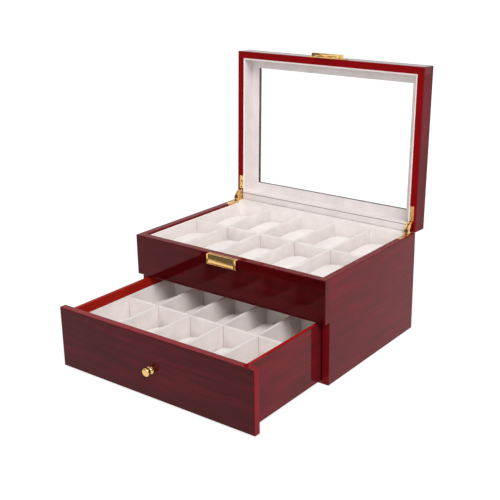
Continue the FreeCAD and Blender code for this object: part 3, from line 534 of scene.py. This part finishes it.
# %% Play beside the hinges
# The lid's lining is narrowed by a hair, so that it doesn't rub on the hinges' round blocks as the lid closes.
HINGE_PLAY = 0.0005
for vertex in lid_copy.data.vertices:
    vertex.co.x *= 1 - HINGE_PLAY
print("play at each side:", round(HINGE_PLAY * 140.5, 2), "mm")

# %% Cast and stamped brass
bevelled("clasp_housing", ["clasp_plate"], 0.35, 3, long_edge, brass)
bevelled("lid_strike", ["strike_plate"], 0.3, 3, long_edge, brass)
bevelled("clasp_press_lever", ["clasp_lever"], 0.45, 3, long_edge, brass)
for hand in ("left", "right"):
    for part in ("case", "lid"):
        bevelled(f"{hand}_{part}_hinge_leaf", [f"{hand}_hinge_{part}_leaf"], 0.25, 2, long_edge, brass)

# %% [markdown]
# ## Cushions
# Each cushion is a foam core in a velvet cover that is a little too small for it, so the faces crown, the long sides
# draw in between the corners, and the bottom lies flat. A cover behaves like cloth under pressure. So a rounded
# block is remeshed evenly, its surface is simulated as cloth with air pressure inside, and the result is kept. Four
# different cushions are made, and the twenty compartments take them in turn, some turned end for end.

# %% A stuffed cushion
CUSHION_SIZE = Vector((45.2, 81.5, 37)) * MM
CORE_SHARE = Vector((0.95, 0.965, 0.88))
CORE_BEVEL = 5 * MM
CORNER_DROP = 0.22
END_DROP = 0.09
CUSHION_KINDS = 4
VOXEL = 4 * MM
SWELL_LIMIT = 4 * MM


def core_block(kind):
    """Rounded block, with a little unevenness of its own."""
    shape = bmesh.new()
    bmesh.ops.create_cube(shape, size=1)
    bmesh.ops.scale(shape, vec=[a * b for a, b in zip(CUSHION_SIZE, CORE_SHARE)], verts=shape.verts)
    bmesh.ops.bevel(
        shape, geom=shape.edges[:], offset=CORE_BEVEL, segments=4, profile=0.5, affect="EDGES", material=-1,
    )
    mesh = bpy.data.meshes.new("core")
    shape.to_mesh(mesh)
    shape.free()
    return mesh


def evaluated_copy(holder):
    """The mesh that an object's modifiers make now."""
    scene_state = bpy.context.evaluated_depsgraph_get()
    return bpy.data.meshes.new_from_object(holder.evaluated_get(scene_state))


def without_modifiers(holder, mesh):
    holder.modifiers.clear()
    holder.data = mesh


def stuffed(kind):
    """Mesh of one cushion, standing on the origin."""
    holder = bpy.data.objects.new("core", core_block(kind))
    bpy.context.scene.collection.objects.link(holder)
    remesh = holder.modifiers.new("even", "REMESH")
    remesh.mode = "VOXEL"
    remesh.voxel_size = VOXEL
    without_modifiers(holder, evaluated_copy(holder))
    for vertex in holder.data.vertices:
        push = noise.noise_vector(vertex.co * 60 + Vector((kind * 7.3, 0, 0)))
        vertex.co += push * 0.5 * MM
    start = [vertex.co.copy() for vertex in holder.data.vertices]
    cloth = holder.modifiers.new("cover", "CLOTH")
    cloth.settings.use_pressure = True
    cloth.settings.uniform_pressure_force = 4
    cloth.settings.effector_weights.gravity = 0
    cloth.settings.quality = 5
    for moment in range(1, 21):
        bpy.context.scene.frame_set(moment)
    without_modifiers(holder, evaluated_copy(holder))
    bpy.context.scene.frame_set(1)
    for vertex, before in zip(holder.data.vertices, start):
        move = vertex.co - before
        vertex.co = before + move.normalized() * min(move.length, SWELL_LIMIT)
    smooth = holder.modifiers.new("fine", "SUBSURF")
    smooth.levels = smooth.render_levels = 1
    mesh = evaluated_copy(holder)
    bpy.data.objects.remove(holder)
    return mesh


def settled(mesh):
    """Fit a cushion into its space, let its underside lie flat, and let its corners sag."""
    low = Vector([min(vertex.co[axis] for vertex in mesh.vertices) for axis in range(3)])
    high = Vector([max(vertex.co[axis] for vertex in mesh.vertices) for axis in range(3)])
    middle = (low + high) / 2
    sunk = 2.2 * MM
    for vertex in mesh.vertices:
        for axis in range(3):
            room = CUSHION_SIZE[axis] + (sunk if axis == 2 else 0)
            vertex.co[axis] = (vertex.co[axis] - middle[axis]) * room / (high[axis] - low[axis])
        vertex.co.z = max(vertex.co.z + CUSHION_SIZE.z / 2 - sunk / 2, 0)
        across = min(abs(vertex.co.x) * 2 / CUSHION_SIZE.x, 1)
        along = min(abs(vertex.co.y) * 2 / CUSHION_SIZE.y, 1)
        vertex.co.z *= 1 - CORNER_DROP * across ** 2 * along ** 3 - END_DROP * along ** 4
    return mesh


kinds = [settled(stuffed(kind)) for kind in range(CUSHION_KINDS)]
print("cushion faces:", [len(mesh.polygons) for mesh in kinds])

# %% Twenty cushions in their compartments
cushion_nodes = [name for name in nodes if "_cushion_" in name]
for number, node_name in enumerate(sorted(cushion_nodes)):
    low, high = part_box(node_name)
    shape = bmesh.new()
    shape.from_mesh(kinds[number * 3 % CUSHION_KINDS])
    turn = Matrix.Rotation(math.pi * (number % 2), 4, "Z")
    place = Matrix.Translation(((low.x + high.x) / 2, (low.y + high.y) / 2, low.z))
    bmesh.ops.transform(shape, matrix=place @ turn, verts=shape.verts)
    mesh = bpy.data.meshes.new(node_name)
    shape.to_mesh(mesh)
    shape.free()
    cushion = bpy.data.objects.new(node_name.replace("_cushion_", "_pillow_"), mesh)
    bpy.context.scene.collection.objects.link(cushion)
    dress(cushion, cushion_velvet)
    for face in mesh.polygons:
        face.use_smooth = True
    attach(cushion, nodes[node_name]["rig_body"])
    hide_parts(node_name)
print("cushions placed:", len(cushion_nodes))

# %% [markdown]
# ## Floor, light and camera
# The box stands on a wide white floor under an even white sky. A broad soft lamp stands at the front right, and a
# broader, weaker one low in front. The sky and the floor are white to the eye, but light the box only as much as a
# bright room does. In mirrors the sky is dark low down in front, where the room is, and that gives the brass its
# contrast.

# %% Floor
SEEN_RAYS = ("Is Camera Ray", "Is Glossy Ray", "Is Transmission Ray")


def seen_share(finish):
    """1 for what the eye sees directly, in a mirror or through glass."""
    rays = finish.node("ShaderNodeLightPath")
    shares = [Varying(finish, rays.socket.node.outputs[name]) for name in SEEN_RAYS]
    return shares[0].larger(shares[1]).larger(shares[2])


def white_floor():
    """Floor that is white where it is lit, and still takes the box's shadow."""
    finish = Finish("white_floor")
    seen = seen_share(finish)
    plain = finish.node("ShaderNodeBsdfDiffuse", values={"Color": (0.8, 0.8, 0.8, 1)})
    dim = finish.node("ShaderNodeBsdfDiffuse", values={"Color": (0.35, 0.35, 0.35, 1)})
    glow = finish.node("ShaderNodeEmission", values={"Strength": 0.75})
    bright = finish.node("ShaderNodeAddShader", values={0: dim, 1: glow})
    return finish.closed(finish.node("ShaderNodeMixShader", values={"Fac": seen, 1: plain, 2: bright}))


shape = bmesh.new()
bmesh.ops.create_circle(shape, cap_ends=True, segments=64, radius=14)
floor_mesh = bpy.data.meshes.new("floor")
shape.to_mesh(floor_mesh)
shape.free()
floor = bpy.data.objects.new("floor", floor_mesh)
bpy.context.scene.collection.objects.link(floor)
dress(floor, white_floor())
print("floor radius", 14, "m")

# %% Sky and lamp
SKY_LEVEL = 0.46


class Sky(Finish):
    """The world's own node tree."""

    def __init__(self):
        self.world = bpy.data.worlds.new("studio")
        self.world.use_nodes = True
        self.tree = self.world.node_tree
        self.tree.nodes.clear()


sky = Sky()
rays = sky.node("ShaderNodeLightPath")
mirrored = Varying(sky, rays.socket.node.outputs["Is Glossy Ray"])
towards = sky.node("ShaderNodeSeparateXYZ", values={"Vector": sky.node("ShaderNodeTexCoord", output="Generated")})
forward = Varying(sky, towards.socket.node.outputs["Y"])
upward = Varying(sky, towards.socket.node.outputs["Z"])
front_side = (forward * -4).clamped()
low_part = ((0.6 - upward) * 5).clamped()
dark_band = front_side * low_part * mirrored * 0.85
level = (seen_share(sky) * (1 - SKY_LEVEL) + SKY_LEVEL) * (1 - dark_band)
background = sky.node("ShaderNodeBackground", values={"Color": (1, 1, 1, 1), "Strength": level})
sky.node("ShaderNodeOutputWorld", values={"Surface": background})
bpy.context.scene.world = sky.world


def soft_lamp(name, towards, strength, width):
    """A far, broad lamp; towards points from the box to the lamp."""
    lamp = bpy.data.lights.new(name, "SUN")
    lamp.energy = strength
    lamp.angle = math.radians(width)
    holder = bpy.data.objects.new(name, lamp)
    holder.rotation_mode = "QUATERNION"
    holder.rotation_quaternion = Vector(towards).to_track_quat("Z", "Y")
    bpy.context.scene.collection.objects.link(holder)


soft_lamp("key_lamp", (0.55, -0.42, 0.72), 1.95, 30)
soft_lamp("fill_lamp", (0.1, -0.9, 0.3), 0.55, 50)
print("sky", SKY_LEVEL)

# %% Camera
EYE = Vector((678.1, -921.4, 512.3)) * MM
YAW = math.radians(35.03)
PITCH = math.radians(-18.19)
SENSOR = 36
PICTURE = 500
FOCAL_PIXELS = 907.4
CENTRE = (296, 234)

camera_data = bpy.data.cameras.new("camera")
camera_data.sensor_width = SENSOR
camera_data.lens = FOCAL_PIXELS * SENSOR / PICTURE
camera_data.shift_x = 0.5 - CENTRE[0] / PICTURE
camera_data.shift_y = CENTRE[1] / PICTURE - 0.5
camera = bpy.data.objects.new("camera", camera_data)
ahead = Vector((-math.sin(YAW) * math.cos(PITCH), math.cos(YAW) * math.cos(PITCH), math.sin(PITCH)))
camera.location = EYE
camera.rotation_mode = "QUATERNION"
camera.rotation_quaternion = ahead.to_track_quat("-Z", "Y")
bpy.context.scene.collection.objects.link(camera)
bpy.context.scene.camera = camera
bpy.context.scene.view_settings.view_transform = "Standard"
print("lens", round(camera_data.lens, 2), "mm")
